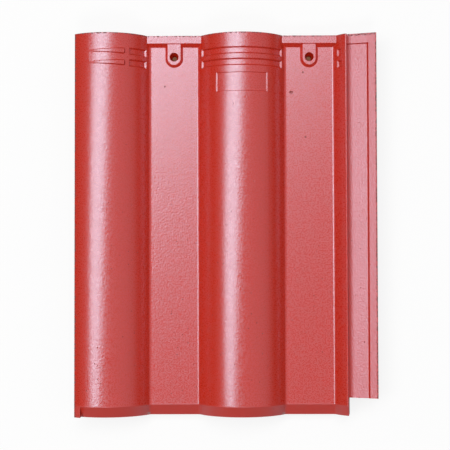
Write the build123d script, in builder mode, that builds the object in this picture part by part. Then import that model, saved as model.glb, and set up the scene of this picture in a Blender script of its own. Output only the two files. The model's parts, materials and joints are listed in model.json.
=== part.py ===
from build123d import *
from math import asin, atan2, cos, degrees, hypot, radians, sin, sqrt, tan
import os

# Interlocking double wave roof tile of concrete, one solid.
# X runs across the roof towards the underlock, Y runs up the slope towards the head, Z is up.
# The origin is the middle of the bounding box, on the level floor that the tile lies on.
# The nose is the exposed end at -Y. The head is the end at +Y, which the next course covers.

# Overall sizes
body_length = 420.0
body_thickness = 12.0

# Waves: circular arcs with their feet on the flat pans
wave_pitch = 150.0
wave_chord = 95.0
wave_height = 28.0
left_edge_to_crest = 33.6
foot_fillet = 4.0

# Side lap: the ridge and underlock flange at the right, the overlock lip at the left
side_clearance = 1.0
ridge_draft = 8.0
ridge_land = 1.5
ridge_rounding = 0.5
channel_rise = 2.5
channel_width = 21.0
channel_tilt = 18.0
rib_height = 2.6
rib_wall_run = 1.6
rib_width = 8.6
rib_edge_land = 1.8
rib_edge_rounding = 0.8
flange_thickness = 8.0
flange_set_back = 19.6
flange_head_reach = 1.2
flange_overlap = 4.0
head_dam_length = 11.6
head_dam_wall_run = 1.0
lip_width = 8.0
lip_clearance = 1.5

# Underside: hanging nibs at the head, weather bars near the nose
underside_depth = 11.0
nib_width = 34.0
nib_thickness = 13.0
nib_from_head = 4.0
nib_draft = 6.0
weather_bar_thickness = 10.0
weather_bar_from_nose = 4.0
head_lap_clearance = 2.0
weather_bar_bond = 2.0

# Head bar and nail bosses on the pans
head_bar_top = 8.3
head_bar_bevel = 4.2
head_bar_height = 4.2
head_bar_bond = 5.0
boss_width = 19.8
boss_length = 34.9
boss_draft = 40.0
boss_step_down = 0.9
pan_bond = 1.0
nail_from_head = 23.5
nail_radius = 2.6
nail_mouth_radius = 5.0
nail_taper_depth = 10.0

# Grooves pressed across the waves at the head, one pair
first_groove_from_head = 19.8
groove_pitch = 12.8
groove_floor = 5.0
groove_wall = 1.5
groove_depth = 1.8
groove_ledge_height = 5.0
left_groove_start = 26.8
step_groove_margin = 5.4

# Wedge shaped ribs on the crest of the left wave, in line with the grooves
wedge_start = -17.0
wedge_end = 20.9
wedge_end_run = 1.5
wedge_width = 7.0
wedge_tip_width = 2.2
wedge_wall = 1.3
wedge_height = 1.8
wedge_tip_height = 0.1
wedge_root = 1.0
wedge_steps = 6

# Bare name panel on the crest of the middle wave
panel_width = 56.4
panel_length = 20.8
panel_wall = 0.6
panel_depth = 0.8
panel_from_head = 54.2

# Nose bevel
bevel_run = 12.0
bevel_drop = 9.5
plain_edge = 7.0

# Derived heights
pan_underside = underside_depth
pan_top = pan_underside + body_thickness
wave_radius = ((wave_chord / 2) ** 2 + wave_height**2) / (2 * wave_height)
inner_radius = wave_radius - body_thickness
crest_top = pan_top + wave_height
axis_z = crest_top - wave_radius


def wave_z(offset, radius=wave_radius):
    """Height of an arc about a wave's axis, at a distance across from its crest."""
    return axis_z + sqrt(radius**2 - offset**2)


# Widths of the side lap: the lip of the next tile at the right drops behind the ridge
cover_width = 2 * wave_pitch
ridge_z = wave_z(left_edge_to_crest + side_clearance + ridge_land)
floor_z = pan_top + channel_rise
face_slope = tan(radians(ridge_draft))
floor_slope = tan(radians(channel_tilt))
face_run = (ridge_z - floor_z) * face_slope
tile_width = cover_width - side_clearance + face_run + channel_width + rib_wall_run + rib_width

# Places across the tile
left_edge = -tile_width / 2
right_edge = tile_width / 2
left_crest = left_edge + left_edge_to_crest
middle_crest = left_crest + wave_pitch
next_crest = middle_crest + wave_pitch
crests = (left_crest, middle_crest)
half_chord = wave_chord / 2
pan_width = wave_pitch - wave_chord
pan_centres = (left_crest + wave_pitch / 2, middle_crest + wave_pitch / 2)
ridge_edge = left_edge + cover_width - side_clearance

# Places along the tile: the underlock flange reaches a little past the head
tile_length = body_length + flange_head_reach
flange_head = tile_length / 2
head = flange_head - flange_head_reach
nose = -tile_length / 2
level_tolerance = 0.01


def cross_plane(y):
    """Plane across the tile: its x is X, its y is Z, and it faces the nose."""
    return Plane(origin=(0, y, 0), x_dir=(1, 0, 0), z_dir=(0, -1, 0))


def foot_corners(sketch):
    """Corners where a wave meets a pan's top face."""
    return sketch.vertices().filter_by_position(
        Axis.Y, pan_top - level_tolerance, pan_top + level_tolerance
    )


def top_line(start_x, end_x):
    """Top line of the section: left wave, pan, middle wave, pan and the step up towards the ridge."""
    first_foot = left_crest + half_chord
    second_foot = middle_crest - half_chord
    third_foot = middle_crest + half_chord
    step_foot = next_crest - half_chord
    ThreePointArc((start_x, wave_z(start_x - left_crest)), (left_crest, crest_top), (first_foot, pan_top))
    Line((first_foot, pan_top), (second_foot, pan_top))
    ThreePointArc((second_foot, pan_top), (middle_crest, crest_top), (third_foot, pan_top))
    Line((third_foot, pan_top), (step_foot, pan_top))
    step_middle = (step_foot + end_x) / 2
    step_end = (end_x, wave_z(end_x - next_crest))
    ThreePointArc((step_foot, pan_top), (step_middle, wave_z(step_middle - next_crest)), step_end)


# Ridge face, channel floor and outer rib
floor_start = ridge_edge + face_run
body_right = ridge_edge + (ridge_z - pan_underside) * face_slope
floor_end = floor_start + channel_width
floor_end_z = floor_z + channel_width * floor_slope
rib_start = floor_end + rib_wall_run
rib_z = floor_end_z + rib_height
rib_top_end = right_edge - rib_edge_land
rib_top_end_z = rib_z + (rib_top_end - rib_start) * floor_slope
flange_left = body_right - flange_overlap
underside_drop = flange_thickness / cos(radians(channel_tilt))


def flange_floor_z(x):
    """Height of the channel floor's plane at a place across the tile."""
    return floor_z + (x - floor_start) * floor_slope


# Overlock lip: its seat is parallel to the channel floor of the tile at its left, and clears it
lip_left_z = flange_floor_z(ridge_edge + side_clearance) + lip_clearance
lip_left = left_edge + (wave_z(left_edge_to_crest) - lip_left_z) * face_slope
lip_right = left_edge + lip_width
lip_right_z = lip_left_z + lip_width * floor_slope

# Recesses pressed into the waves: rings about the wave axes, kept above level ledges at their ends
recess_above = 1.0
groove_lines = (head - first_groove_from_head, head - first_groove_from_head - groove_pitch)
ledge_z = pan_top + groove_ledge_height
groove_spans = (
    (left_crest + left_groove_start, left_crest + half_chord),
    (middle_crest - half_chord, middle_crest + half_chord),
    (next_crest - half_chord, ridge_edge - step_groove_margin),
)
panel_line = head - panel_from_head
panel_ledge_z = wave_z(panel_width / 2)


def recess_outline(line_y, floor_half, wall, depth):
    """Lengthwise outline of a recess at a crest, from its floor out past the crest."""
    floor_level = crest_top - depth
    spread = wall * (1 + recess_above / depth)
    Polyline(
        (line_y - floor_half, floor_level),
        (line_y + floor_half, floor_level),
        (line_y + floor_half + spread, crest_top + recess_above),
        (line_y - floor_half - spread, crest_top + recess_above),
        close=True,
    )


with BuildPart() as groove_cut:
    for crest in (left_crest, middle_crest, next_crest):
        with BuildSketch(Plane.YZ.offset(crest)) as groove_section:
            for line_y in groove_lines:
                with BuildLine():
                    recess_outline(line_y, groove_floor / 2, groove_wall, groove_depth)
                make_face()
        revolve(axis=Axis((crest, 0, axis_z), (0, 1, 0)), revolution_arc=360)
    with BuildSketch(cross_plane(head)) as groove_zone:
        for start_x, end_x in groove_spans:
            with Locations((start_x, ledge_z)):
                Rectangle(end_x - start_x, crest_top, align=(Align.MIN, Align.MIN))
    extrude(amount=first_groove_from_head + 2 * groove_pitch, mode=Mode.INTERSECT)

# Name panel: a shallow recess with the wave's own curve
with BuildPart() as panel_cut:
    with BuildSketch(Plane.YZ.offset(middle_crest)) as panel_section:
        with BuildLine():
            recess_outline(panel_line, panel_length / 2 - panel_wall, panel_wall, panel_depth)
        make_face()
    revolve(axis=Axis((middle_crest, 0, axis_z), (0, 1, 0)), revolution_arc=360)
    with BuildSketch(cross_plane(head)) as panel_zone:
        with Locations((middle_crest, panel_ledge_z)):
            Rectangle(panel_width, crest_top, align=(Align.CENTER, Align.MIN))
    extrude(amount=panel_from_head + panel_length, mode=Mode.INTERSECT)

# Head dam: the channel floor raised to the rib's height, with a sloped end towards the nose
dam_rise = rib_z - flange_floor_z(rib_start)
with BuildPart() as head_dam:
    with BuildSketch(cross_plane(flange_head)) as dam_section:
        with BuildLine() as dam_outline:
            Polyline(
                (flange_left, flange_floor_z(flange_left) - pan_bond),
                (flange_left, flange_floor_z(flange_left) + dam_rise),
                (rib_start, rib_z),
                (rib_start, flange_floor_z(rib_start) - pan_bond),
                close=True,
            )
        make_face()
    extrude(amount=head_dam_length)
    dam_end = head_dam.faces().sort_by(Axis.Y)[0]
    dam_edge = dam_end.edges().sort_by(SortBy.LENGTH)[-2:].sort_by(Axis.Z)[-1]
    chamfer(dam_edge, length=dam_rise, length2=head_dam_wall_run, reference=dam_end)


# Wedge ribs: sections at steps from the crest, growing from the tip, then a blunt end
wedge_sections = []
for step in range(wedge_steps + 1):
    share = step / wedge_steps
    foot_width = wedge_tip_width + share * (wedge_width - wedge_tip_width)
    rise = wedge_tip_height + sqrt(share) * (wedge_height - wedge_tip_height)
    wedge_sections.append((wedge_start + share * (wedge_end - wedge_start), foot_width, rise))
wedge_sections.append((wedge_end + wedge_end_run, wedge_width - 2 * wedge_end_run, wedge_tip_height))


def wedge_plane(line_y, offset):
    """Plane across a wedge rib at a distance from the crest, with its x along the tile."""
    angle = asin(offset / wave_radius)
    origin = (left_crest + offset, line_y, wave_z(offset))
    return Plane(origin=origin, x_dir=(0, 1, 0), z_dir=(cos(angle), 0, -sin(angle)))


with BuildPart() as roof_tile:
    # Body: the section from the overlock lip to the ridge, extruded from the head to the nose
    with BuildSketch(cross_plane(head)) as body_section:
        with BuildLine() as body_outline:
            top_line(left_edge, ridge_edge - ridge_land)
            hollow_half = sqrt(inner_radius**2 - (pan_underside - axis_z) ** 2)
            Polyline(
                (ridge_edge - ridge_land, ridge_z),
                (ridge_edge, ridge_z),
                (body_right, pan_underside),
                (middle_crest + hollow_half, pan_underside),
            )
            ThreePointArc(
                (middle_crest + hollow_half, pan_underside),
                (middle_crest, axis_z + inner_radius),
                (middle_crest - hollow_half, pan_underside),
            )
            Line((middle_crest - hollow_half, pan_underside), (left_crest + hollow_half, pan_underside))
            ThreePointArc(
                (left_crest + hollow_half, pan_underside),
                (left_crest, axis_z + inner_radius),
                (lip_right, wave_z(lip_right - left_crest, inner_radius)),
            )
            Polyline(
                (lip_right, wave_z(lip_right - left_crest, inner_radius)),
                (lip_right, lip_right_z),
                (lip_left, lip_left_z),
                (left_edge, wave_z(left_edge_to_crest)),
            )
        make_face()
        fillet(foot_corners(body_section), foot_fillet)
        ridge_corner = body_section.vertices().sort_by_distance((ridge_edge, ridge_z))[0]
        fillet(ridge_corner, ridge_rounding)
    extrude(amount=body_length)

    # Underlock flange: tilted channel floor and outer rib, ending short of the nose
    with BuildSketch(cross_plane(flange_head)) as flange_section:
        with BuildLine() as flange_outline:
            Polyline(
                (flange_left, flange_floor_z(flange_left) - underside_drop),
                (flange_left, flange_floor_z(flange_left)),
                (floor_end, floor_end_z),
                (rib_start, rib_z),
                (rib_top_end, rib_top_end_z),
                (right_edge, rib_top_end_z),
                (right_edge, flange_floor_z(right_edge) - underside_drop),
                close=True,
            )
        make_face()
        rib_corner = flange_section.vertices().sort_by_distance((right_edge, rib_top_end_z))[0]
        fillet(rib_corner, rib_edge_rounding)
    extrude(amount=tile_length - flange_set_back)

    add(head_dam.part)

    # Nose bevel: the space above the top line, moved down as it runs forward, is taken away
    bevel_ceiling = crest_top + body_thickness
    bevel_overrun = 3.0
    with BuildSketch(cross_plane(nose + bevel_run)) as air_section:
        with BuildLine() as air_outline:
            air_left = left_edge + plain_edge
            top_line(air_left, next_crest)
            Polyline(
                (next_crest, crest_top),
                (next_crest, bevel_ceiling),
                (air_left, bevel_ceiling),
                (air_left, wave_z(air_left - left_crest)),
            )
        make_face()
        fillet(foot_corners(air_section), foot_fillet)
    extrude(
        amount=hypot(bevel_run, bevel_drop) + bevel_overrun,
        dir=(0, -bevel_run, -bevel_drop),
        mode=Mode.SUBTRACT,
    )

    # Weather bars: they fill the space between this tile and the one it laps over, near the nose
    bar_left = lip_right - weather_bar_bond
    bar_right = body_right - flange_overlap
    with BuildSketch(cross_plane(nose + weather_bar_from_nose + weather_bar_thickness)) as weather_section:
        with Locations([(crest, axis_z) for crest in crests]):
            Circle(inner_radius + weather_bar_bond)
        with Locations((left_crest, 0)):
            Rectangle(
                bar_right - left_crest,
                pan_underside + weather_bar_bond,
                align=(Align.MIN, Align.MIN),
            )
        with Locations([(crest, axis_z - pan_top) for crest in (*crests, next_crest)]):
            Circle(wave_radius + head_lap_clearance, mode=Mode.SUBTRACT)
        with Locations((bar_left, 0)):
            Rectangle(bar_right - bar_left, crest_top, align=(Align.MIN, Align.MIN), mode=Mode.INTERSECT)
    extrude(amount=weather_bar_thickness)

    # Hanging nibs: blocks under the pans at the head, drafted on the batten's side and on the head's side
    nib_head = head - nib_from_head
    nib_batten = nib_head - nib_thickness
    nib_run = underside_depth * tan(radians(nib_draft))
    for pan in pan_centres:
        with BuildSketch(Plane.YZ.offset(pan - nib_width / 2)) as nib_section:
            with BuildLine() as nib_outline:
                Polyline(
                    (nib_head, pan_underside),
                    (nib_head - nib_run, 0),
                    (nib_batten + nib_run, 0),
                    (nib_batten, pan_underside),
                    close=True,
                )
            make_face()
        extrude(amount=nib_width)

    # Head bars: a flat top, then a bevel down to the pan
    bar_top_z = pan_top + head_bar_height
    for pan in pan_centres:
        with BuildSketch(Plane.YZ.offset(pan - pan_width / 2 - head_bar_bond)) as head_bar_section:
            with BuildLine() as head_bar_outline:
                Polyline(
                    (head, pan_top - pan_bond),
                    (head, bar_top_z),
                    (head - head_bar_top, bar_top_z),
                    (head - head_bar_top - head_bar_bevel, pan_top),
                    (head - head_bar_top - head_bar_bevel, pan_top - pan_bond),
                    close=True,
                )
            make_face()
        extrude(amount=pan_width + 2 * head_bar_bond)

    # Nail bosses: a tongue with a round end, drafted all round, and a tapered nail hole
    boss_top_z = bar_top_z - boss_step_down
    boss_radius = boss_width / 2
    with BuildSketch(Plane.XY.offset(pan_top)) as boss_section:
        with Locations([(pan, head - boss_length + boss_radius) for pan in pan_centres]):
            Circle(boss_radius)
            Rectangle(boss_width, boss_length - boss_radius - pan_bond, align=(Align.CENTER, Align.MIN))
    extrude(amount=boss_top_z - pan_top, taper=boss_draft)

    mouth_angle = 2 * degrees(atan2(nail_mouth_radius - nail_radius, nail_taper_depth))
    with Locations([(pan, head - nail_from_head, boss_top_z) for pan in pan_centres]):
        CounterSinkHole(nail_radius, nail_mouth_radius, counter_sink_angle=mouth_angle)

    # Wedge ribs on the left wave
    for line_y in groove_lines:
        for offset, foot_width, rise in wedge_sections:
            half_foot = foot_width / 2
            half_top = half_foot - wedge_wall * rise / wedge_height
            with BuildSketch(wedge_plane(line_y, offset)) as wedge_section:
                with BuildLine():
                    Polyline(
                        (-half_foot, -wedge_root),
                        (half_foot, -wedge_root),
                        (half_foot, 0),
                        (half_top, rise),
                        (-half_top, rise),
                        (-half_foot, 0),
                        close=True,
                    )
                make_face()
        loft(ruled=True)

    add(groove_cut.part, mode=Mode.SUBTRACT)
    add(panel_cut.part, mode=Mode.SUBTRACT)

roof_tile.part.label = "roof_tile"

os.makedirs("parts", exist_ok=True)
export_step(roof_tile.part, "parts/roof_tile.step")
print("volume mm3", round(roof_tile.part.volume), "box", roof_tile.part.bounding_box())
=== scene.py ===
"""Wave roof tile: red coated concrete, lying on a white studio floor, seen from above."""

import json
import math

import bpy
from mathutils import Matrix, Vector


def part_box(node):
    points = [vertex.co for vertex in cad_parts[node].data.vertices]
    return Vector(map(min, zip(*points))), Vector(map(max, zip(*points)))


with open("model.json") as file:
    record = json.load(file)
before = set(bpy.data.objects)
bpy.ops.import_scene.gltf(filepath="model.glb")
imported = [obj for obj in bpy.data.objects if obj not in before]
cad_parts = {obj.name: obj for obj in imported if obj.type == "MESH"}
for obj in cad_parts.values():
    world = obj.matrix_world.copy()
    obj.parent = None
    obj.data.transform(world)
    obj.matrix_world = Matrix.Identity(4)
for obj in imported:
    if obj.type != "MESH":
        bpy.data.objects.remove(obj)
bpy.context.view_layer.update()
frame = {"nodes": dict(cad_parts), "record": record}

# The tile and its nail holes, as the frame gives them
TILE = frame["nodes"]["roof_tile"]
tile_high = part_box("roof_tile")[1]
MOUNTS = {mount["name"]: mount for mount in frame["record"]["mounts"]}
NAIL_HOLES = MOUNTS["nail_holes"]
NAIL_PITCH = NAIL_HOLES["dims"]["spacing_x_mm"] / 1000

# Places on the tile, in metres. A pair is where a change of finish starts and where it is complete
UNDERLOCK_PAST_HEAD = 0.0012
SIDE = tile_high[0]
HEAD = tile_high[1] - UNDERLOCK_PAST_HEAD
PAN_TOP = 0.023
CREST_TOP = 0.051
UNDERLOCK_EDGE = (0.1335, 0.1350)
RIB_EDGE = (0.1545, 0.1565)
NOSE_BEVEL_EDGE = (-0.1970, -0.1985)
PIT_PLACES = (
    (-0.0677, 0.1535, PAN_TOP),
    (0.0085, 0.131, CREST_TOP),
    (0.086, 0.169, PAN_TOP),
    (0.0885, 0.097, PAN_TOP),
)
PIT_RADIUS = 0.0011
PIT_RIM = 0.0005
SCRATCH_PLACE = (0.0725, 0.1465, PAN_TOP)
LEFT_BARE_FOOT = (-0.0862, -0.2088, 0.022)
RIGHT_BARE_FOOT = (0.0640, -0.2090, 0.022)
BARE_FOOT_STRETCH = (1, 2.6, 0.3)

# Colours
PAINT = (0.605, 0.023, 0.004, 1)
WORN_PAINT = (0.585, 0.026, 0.005, 1)
# Dark of the chips and the scratch, and painted shade inside the pits
DARK_MARK_AND_PIT_SHADE = (0.20, 0.030, 0.015, 1)
BARE_PATCH = (0.42, 0.30, 0.27, 1)
RAW_CONCRETE = (0.30, 0.105, 0.07, 1)
DARK_CONCRETE = (0.22, 0.085, 0.06, 1)
GLOSS_TINT = (0.56, 0.83, 1.0, 1)
WHITE = (1, 1, 1, 1)
# Painted light: the dim brown glow of the floor seen down the nail holes
HOLE_PAINTED_LIGHT_COLOUR = (1, 0.42, 0.22, 1)
FLOOR_IN_VIEW = (0.9, 0.9, 0.9, 1)
FLOOR_AS_REFLECTOR = (0.5, 0.5, 0.5, 1)

# Grain of the surface: its scale to the metre and its depth in metres
SAND_SCALE = 520
SAND_DEPTH = 0.00006
UNDERLOCK_EXTRA_SAND = 6.3
LUMP_SCALE = 300
LUMP_DEPTH = 0.00002
STREAK_SCALE = 34
STREAK_DEPTH = 0.00002
STREAK_STRETCH = (1, 0.12, 1)
GLINT_SCALE = 700
PIT_DEPTH = 0.0004

# Gloss of the coating
WAVE_ROUGHNESS = 0.27
UNDERLOCK_ROUGHNESS = 0.39
RIB_EXTRA_ROUGHNESS = 0.05
NOSE_EXTRA_ROUGHNESS = 0.17
SHADE_EXTRA_ROUGHNESS = 0.03
GLINT_STRENGTH = 0.42
CONCRETE_ROUGHNESS = 0.92
COATING_IOR = 1.7

# Edges, rounded as cast and coated edges are
EDGE_ROUNDING = 0.0005
EDGE_ANGLE = 13

# Lamps: tilts and spans in degrees as the tile sees them, and the light that each gives
LAMP_DISTANCE = 6.0
KEY_LEFT = 15.5
KEY_HEADWARDS = 13.0
KEY_ALONG = (0.75, 0.66, 0)
KEY_SPANS = (60, 24)
KEY_LIGHTING = 2.76
NOSE_LAMP_TILT = 32.0
NOSE_LAMP_SPANS = (14, 14)
NOSE_LAMP_LIGHTING = 0.46
ROOM_LIGHTING = 0.02

# Floor
FLOOR_SIZE = 8
FLOOR_GAP = 0.0002
FLOOR_GLOW = 0.82
GLOW_BELOW_HOLES = 0.18

# Camera: nearly straight above the tile, a little to the nose side, turned by degrees
CAMERA_PLACE = (0.0107, -0.0425, 1.3141)
CAMERA_TURN = (1.852, 0.533, -0.131)
CAMERA_LENS = 93.26
SENSOR_WIDTH = 36


def new_material(name):
    """An empty node material with an output, and its node tree."""
    material = bpy.data.materials.new(name)
    material.use_nodes = True
    material.node_tree.nodes.clear()
    output = material.node_tree.nodes.new("ShaderNodeOutputMaterial")
    return material, material.node_tree, output


def math_node(tree, operation, first, second=None, third=None):
    """A math node fed by sockets or numbers; returns its result."""
    node = tree.nodes.new("ShaderNodeMath")
    node.operation = operation
    for place, value in enumerate((first, second, third)):
        if value is None:
            continue
        if isinstance(value, (int, float)):
            node.inputs[place].default_value = value
        else:
            tree.links.new(value, node.inputs[place])
    return node.outputs["Value"]


def product(tree, first, *others):
    """Some values multiplied together."""
    for other in others:
        first = math_node(tree, "MULTIPLY", first, other)
    return first


def largest(tree, first, *others):
    """The largest of some values."""
    for other in others:
        first = math_node(tree, "MAXIMUM", first, other)
    return first


def ramp(tree, value, low, high, start=0.0, end=1.0):
    """A smooth step of a value from one level to another."""
    node = tree.nodes.new("ShaderNodeMapRange")
    node.interpolation_type = "SMOOTHSTEP"
    node.inputs["From Min"].default_value = low
    node.inputs["From Max"].default_value = high
    node.inputs["To Min"].default_value = start
    node.inputs["To Max"].default_value = end
    tree.links.new(value, node.inputs["Value"])
    return node.outputs["Result"]


def speckle(tree, place, per_metre, detail=2.0, stretch=(1, 1, 1)):
    """Noise on the tile's own coordinates, from 0 to 1."""
    scaled = tree.nodes.new("ShaderNodeVectorMath")
    scaled.operation = "MULTIPLY"
    scaled.inputs[1].default_value = stretch
    tree.links.new(place, scaled.inputs[0])
    noise = tree.nodes.new("ShaderNodeTexNoise")
    noise.inputs["Scale"].default_value = per_metre
    noise.inputs["Detail"].default_value = detail
    tree.links.new(scaled.outputs["Vector"], noise.inputs["Vector"])
    return noise.outputs["Fac"]


def pinholes(tree, place, per_metre, radius, share):
    """Small round pits scattered over the tile: 1 inside a pit, 0 outside."""
    cells = tree.nodes.new("ShaderNodeTexVoronoi")
    cells.inputs["Scale"].default_value = per_metre
    tree.links.new(place, cells.inputs["Vector"])
    chance = tree.nodes.new("ShaderNodeSeparateColor")
    tree.links.new(cells.outputs["Color"], chance.inputs["Color"])
    chosen = math_node(tree, "LESS_THAN", chance.outputs["Red"], share)
    inside = ramp(tree, cells.outputs["Distance"], radius * per_metre, 0.4 * radius * per_metre)
    return product(tree, chosen, inside)


def spot(tree, place, centre, reach, soft, stretch=(1, 1, 1)):
    """1 near one place, falling to 0 at its reach."""
    offset = tree.nodes.new("ShaderNodeVectorMath")
    offset.operation = "SUBTRACT"
    offset.inputs[1].default_value = centre
    tree.links.new(place, offset.inputs[0])
    scaled = tree.nodes.new("ShaderNodeVectorMath")
    scaled.operation = "MULTIPLY"
    scaled.inputs[1].default_value = stretch
    tree.links.new(offset.outputs["Vector"], scaled.inputs[0])
    length = tree.nodes.new("ShaderNodeVectorMath")
    length.operation = "LENGTH"
    tree.links.new(scaled.outputs["Vector"], length.inputs[0])
    return ramp(tree, length.outputs["Value"], reach, reach - soft)


def colour_mix(tree, share, first, second):
    """A mix of two colours, each a socket or a plain colour."""
    node = tree.nodes.new("ShaderNodeMix")
    node.data_type = "RGBA"
    tree.links.new(share, node.inputs["Factor"])
    for name, value in (("A", first), ("B", second)):
        socket = [entry for entry in node.inputs if entry.name == name and entry.type == "RGBA"][0]
        if isinstance(value, tuple):
            socket.default_value = value
        else:
            tree.links.new(value, socket)
    return [entry for entry in node.outputs if entry.type == "RGBA"][0]


def relief(tree, height, depth, normal=None):
    """A bump of so many metres for a height of 0 to 1."""
    node = tree.nodes.new("ShaderNodeBump")
    node.inputs["Strength"].default_value = 1.0
    node.inputs["Distance"].default_value = depth
    tree.links.new(height, node.inputs["Height"])
    if normal is not None:
        tree.links.new(normal, node.inputs["Normal"])
    return node.outputs["Normal"]


def sand_grain(tree, place, along_x, along_y, upwards, underlock):
    """Sand under the coating, as a height around 0: finer on the right pan and towards the head."""
    sand = math_node(tree, "SUBTRACT", speckle(tree, place, SAND_SCALE, 0.0), 0.5)
    right_pan = ramp(tree, along_x, 0.02, 0.07, 1.0, 0.4)
    coarse_underlock = math_node(tree, "MULTIPLY_ADD", underlock, UNDERLOCK_EXTRA_SAND, 1.0)
    level_faces = ramp(tree, upwards, 0.985, 0.998, 1.0, 2.0)
    head_end = ramp(tree, along_y, 0.02, 0.15, 1.0, 0.65)
    return product(tree, sand, right_pan, coarse_underlock, level_faces, head_end)


def press_pits(tree, place, along_y, underlock):
    """Pinholes all over, larger pits and a scratch at their places: 1 inside a pit, 0 outside."""
    few = pinholes(tree, place, 55, 0.0007, 0.05)
    fine = pinholes(tree, place, 330, 0.0007, 0.045)
    fine = product(tree, fine, ramp(tree, along_y, 0.10, -0.12, 0.25, 1.0))
    in_underlock = product(tree, pinholes(tree, place, 210, 0.0006, 0.10), underlock)
    larger = [spot(tree, place, centre, PIT_RADIUS, PIT_RIM) for centre in PIT_PLACES]
    scratch = spot(tree, place, SCRATCH_PLACE, 0.0032, 0.0014, (1, 1.5, 0.2))
    scratch = product(tree, scratch, ramp(tree, speckle(tree, place, 800), 0.46, 0.56))
    return largest(tree, few, fine, in_underlock, *larger, scratch)


def rim_chips(tree, place, along_x, along_y):
    """Small chips along both sides and the head, where the fresh concrete was cut."""
    from_side = math_node(tree, "SUBTRACT", SIDE, math_node(tree, "ABSOLUTE", along_x))
    side_rims = ramp(tree, from_side, 0.0024, 0.0010)
    head_rim = ramp(tree, along_y, HEAD - 0.0018, HEAD - 0.0008)
    broken = ramp(tree, speckle(tree, place, 560), 0.49, 0.55)
    return product(tree, largest(tree, side_rims, head_rim), broken)


def bare_feet(tree, place):
    """Two ragged patches at the nose, at the feet of the waves, where the coating is missing."""
    left = spot(tree, place, LEFT_BARE_FOOT, 0.0036, 0.0020, BARE_FOOT_STRETCH)
    right = spot(tree, place, RIGHT_BARE_FOOT, 0.0030, 0.0018, BARE_FOOT_STRETCH)
    ragged = ramp(tree, speckle(tree, place, 500), 0.40, 0.55)
    return product(tree, largest(tree, left, right), ragged)


def coating_colour(tree, place, shade, pits, chips, under):
    """Red coating with its pits painted dark as shade, its chips and bare patches, and raw concrete on
    the underside.
    """
    paint = colour_mix(tree, ramp(tree, shade, 0.30, 0.75), PAINT, WORN_PAINT)
    # Pits painted dark: the shade inside them is painted into the colour; chips and the scratch take the
    # same dark
    paint = colour_mix(tree, pits, paint, DARK_MARK_AND_PIT_SHADE)
    paint = colour_mix(tree, chips, paint, DARK_MARK_AND_PIT_SHADE)
    paint = colour_mix(tree, bare_feet(tree, place), paint, BARE_PATCH)
    sandy = ramp(tree, speckle(tree, place, 700, 3.0), 0.35, 0.7)
    concrete = colour_mix(tree, sandy, RAW_CONCRETE, DARK_CONCRETE)
    return colour_mix(tree, under, paint, concrete)


def coating_gloss(tree, place, along_x, along_y, upwards, shade):
    """Roughness of the coating: duller on the underlock, its rib and the nose bevel, with fine glints."""
    dull = ramp(tree, along_x, *UNDERLOCK_EDGE, WAVE_ROUGHNESS, UNDERLOCK_ROUGHNESS)
    dull = math_node(tree, "ADD", dull, ramp(tree, along_x, *RIB_EDGE, 0.0, RIB_EXTRA_ROUGHNESS))
    dull = math_node(tree, "ADD", dull, ramp(tree, along_y, *NOSE_BEVEL_EDGE, 0.0, NOSE_EXTRA_ROUGHNESS))
    dull = math_node(tree, "MULTIPLY_ADD", shade, SHADE_EXTRA_ROUGHNESS, dull)
    glints = math_node(tree, "SUBTRACT", speckle(tree, place, GLINT_SCALE, 1.0), 0.5)
    glints = product(tree, glints, ramp(tree, upwards, 0.90, 0.99, 0.35, 1.0))
    return math_node(tree, "MULTIPLY_ADD", glints, GLINT_STRENGTH, dull)


def coated_concrete():
    """Red coating over pressed concrete, with the raw concrete on its underside."""
    material, tree, output = new_material("coated_concrete")
    texture = tree.nodes.new("ShaderNodeTexCoord")
    place = texture.outputs["Object"]
    axes = tree.nodes.new("ShaderNodeSeparateXYZ")
    tree.links.new(place, axes.inputs["Vector"])
    along_x = axes.outputs["X"]
    along_y = axes.outputs["Y"]
    surface = tree.nodes.new("ShaderNodeNewGeometry")
    facing = tree.nodes.new("ShaderNodeSeparateXYZ")
    tree.links.new(surface.outputs["Normal"], facing.inputs["Vector"])
    upwards = facing.outputs["Z"]

    underlock = ramp(tree, along_x, *UNDERLOCK_EDGE)
    under = ramp(tree, upwards, -0.02, -0.25)
    shade = speckle(tree, place, 90, 4.0)
    pits = press_pits(tree, place, along_y, underlock)
    chips = rim_chips(tree, place, along_x, along_y)
    gloss = coating_gloss(tree, place, along_x, along_y, upwards, shade)
    raw = product(tree, under, CONCRETE_ROUGHNESS)

    normal = relief(tree, speckle(tree, place, STREAK_SCALE, 1.0, STREAK_STRETCH), STREAK_DEPTH)
    normal = relief(tree, speckle(tree, place, LUMP_SCALE, 0.0), LUMP_DEPTH, normal)
    sand = sand_grain(tree, place, along_x, along_y, upwards, underlock)
    normal = relief(tree, sand, SAND_DEPTH, normal)
    normal = relief(tree, product(tree, pits, -1), PIT_DEPTH, normal)

    skin = tree.nodes.new("ShaderNodeBsdfPrincipled")
    skin.inputs["IOR"].default_value = COATING_IOR
    skin.inputs["Specular IOR Level"].default_value = 1.0
    skin.inputs["Specular Tint"].default_value = GLOSS_TINT
    colour = coating_colour(tree, place, shade, pits, chips, under)
    tree.links.new(colour, skin.inputs["Base Color"])
    tree.links.new(largest(tree, gloss, raw, pits, chips), skin.inputs["Roughness"])
    tree.links.new(normal, skin.inputs["Normal"])
    tree.links.new(skin.outputs["BSDF"], output.inputs["Surface"])
    return material


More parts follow.
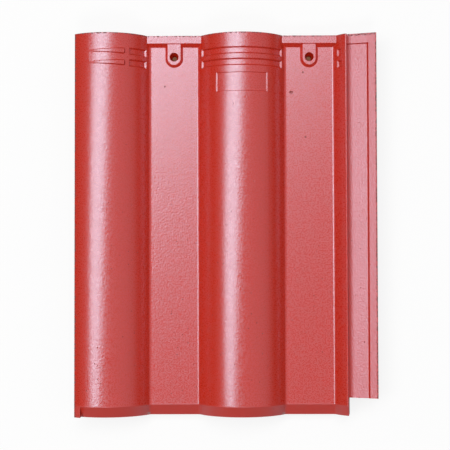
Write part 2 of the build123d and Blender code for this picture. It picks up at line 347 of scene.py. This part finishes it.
def white_floor():
    """A white floor that shows as white and keeps the tile's shadow."""
    material, tree, output = new_material("white_floor")
    texture = tree.nodes.new("ShaderNodeTexCoord")
    place = texture.outputs["Object"]
    rays = tree.nodes.new("ShaderNodeLightPath")
    seen = rays.outputs["Is Camera Ray"]

    # Painted light: below the nail holes the floor glows a dim brown for the camera, standing in for what
    # is seen down the holes
    middle_x, hole_y, _ = NAIL_HOLES["pos_m"]
    hole_places = [(middle_x + side * NAIL_PITCH / 2, hole_y, 0) for side in (-1, 1)]
    below_holes = largest(tree, *[spot(tree, place, centre, 0.022, 0.012) for centre in hole_places])
    share = math_node(tree, "MULTIPLY_ADD", below_holes, GLOW_BELOW_HOLES - FLOOR_GLOW, FLOOR_GLOW)

    shown = tree.nodes.new("ShaderNodeEmission")
    tree.links.new(colour_mix(tree, below_holes, WHITE, HOLE_PAINTED_LIGHT_COLOUR), shown.inputs["Color"])
    matt = tree.nodes.new("ShaderNodeBsdfDiffuse")
    tree.links.new(colour_mix(tree, seen, FLOOR_AS_REFLECTOR, FLOOR_IN_VIEW), matt.inputs["Color"])
    blend = tree.nodes.new("ShaderNodeMixShader")
    tree.links.new(product(tree, share, seen), blend.inputs["Fac"])
    tree.links.new(matt.outputs["BSDF"], blend.inputs[1])
    tree.links.new(shown.outputs["Emission"], blend.inputs[2])
    tree.links.new(blend.outputs["Shader"], output.inputs["Surface"])
    return material


def finish_tile():
    """The CAD tile with its coating, rounded edges and even shading."""
    TILE.data.materials.clear()
    TILE.data.materials.append(coated_concrete())
    for face in TILE.data.polygons:
        face.use_smooth = True
    weld = TILE.modifiers.new("weld", "WELD")
    weld.merge_threshold = 0.00001
    worn_edges = TILE.modifiers.new("worn_edges", "BEVEL")
    worn_edges.limit_method = "ANGLE"
    worn_edges.angle_limit = math.radians(EDGE_ANGLE)
    worn_edges.width = EDGE_ROUNDING
    worn_edges.segments = 2
    worn_edges.use_clamp_overlap = True
    shading = TILE.modifiers.new("shading", "WEIGHTED_NORMAL")
    shading.mode = "FACE_AREA_WITH_ANGLE"
    shading.weight = 80


def lay_floor():
    """The studio floor, a hair below the tile's nibs."""
    bpy.ops.mesh.primitive_plane_add(size=FLOOR_SIZE, location=(0, 0, -FLOOR_GAP))
    floor = bpy.context.object
    floor.name = "studio_floor"
    floor.data.materials.append(white_floor())


def softbox(name, towards, along, spans, lighting):
    """A rectangular lamp seen from the tile in one direction, with one side along another.

    The spans are the angles it fills, in degrees, and the lighting is the irradiance it gives."""
    lamp = bpy.data.lights.new(name, "AREA")
    lamp.shape = "RECTANGLE"
    lamp.size = 2 * LAMP_DISTANCE * math.tan(math.radians(spans[0] / 2))
    lamp.size_y = 2 * LAMP_DISTANCE * math.tan(math.radians(spans[1] / 2))
    lamp.energy = lighting * math.pi * LAMP_DISTANCE**2
    back = Vector(towards).normalized()
    side = Vector(along)
    side = (side - side.dot(back) * back).normalized()
    turn = Matrix((side, back.cross(side), back)).transposed()
    holder = bpy.data.objects.new(name, lamp)
    bpy.context.scene.collection.objects.link(holder)
    holder.matrix_world = Matrix.Translation(LAMP_DISTANCE * back) @ turn.to_4x4()


def dim_studio():
    """A dim studio around the tile, lighter overhead and at the right; the camera sees it white."""
    world = bpy.data.worlds.new("studio")
    world.use_nodes = True
    tree = world.node_tree
    tree.nodes.clear()
    sky = tree.nodes.new("ShaderNodeTexCoord")
    rays = tree.nodes.new("ShaderNodeLightPath")

    def wall_light(towards, low, high, strength):
        """Light from one side of the studio, fading out around that direction."""
        share = tree.nodes.new("ShaderNodeVectorMath")
        share.operation = "DOT_PRODUCT"
        share.inputs[1].default_value = towards
        tree.links.new(sky.outputs["Generated"], share.inputs[0])
        return ramp(tree, share.outputs["Value"], low, high, 0.0, strength)

    overhead = wall_light((0, 0, 1), 0.0, 0.6, 0.13)
    right_side = wall_light((0.64, 0, 0.77), 0.72, 1.0, 0.38)
    light = math_node(tree, "ADD", overhead, right_side)
    light = math_node(tree, "ADD", light, ROOM_LIGHTING)
    dim = tree.nodes.new("ShaderNodeBackground")
    dim.inputs["Color"].default_value = WHITE
    tree.links.new(light, dim.inputs["Strength"])
    white = tree.nodes.new("ShaderNodeBackground")
    white.inputs["Color"].default_value = WHITE
    choice = tree.nodes.new("ShaderNodeMixShader")
    tree.links.new(rays.outputs["Is Camera Ray"], choice.inputs["Fac"])
    tree.links.new(dim.outputs["Background"], choice.inputs[1])
    tree.links.new(white.outputs["Background"], choice.inputs[2])
    surround = tree.nodes.new("ShaderNodeOutputWorld")
    tree.links.new(choice.outputs["Shader"], surround.inputs["Surface"])
    bpy.context.scene.world = world


def set_camera():
    """The camera at the photograph's viewing angle."""
    lens = bpy.data.cameras.new("camera")
    lens.lens = CAMERA_LENS
    lens.sensor_width = SENSOR_WIDTH
    camera = bpy.data.objects.new("camera", lens)
    bpy.context.scene.collection.objects.link(camera)
    camera.location = CAMERA_PLACE
    camera.rotation_euler = [math.radians(angle) for angle in CAMERA_TURN]
    bpy.context.scene.camera = camera


finish_tile()
lay_floor()

# A long softbox up on the left, crossing over towards the head, and a small one at the nose
key_towards = (-math.tan(math.radians(KEY_LEFT)), math.tan(math.radians(KEY_HEADWARDS)), 1)
nose_towards = (0, -math.tan(math.radians(NOSE_LAMP_TILT)), 1)
softbox("key_softbox", key_towards, KEY_ALONG, KEY_SPANS, KEY_LIGHTING)
softbox("nose_softbox", nose_towards, (1, 0, 0), NOSE_LAMP_SPANS, NOSE_LAMP_LIGHTING)
dim_studio()
set_camera()
bpy.context.scene.view_settings.view_transform = "Standard"
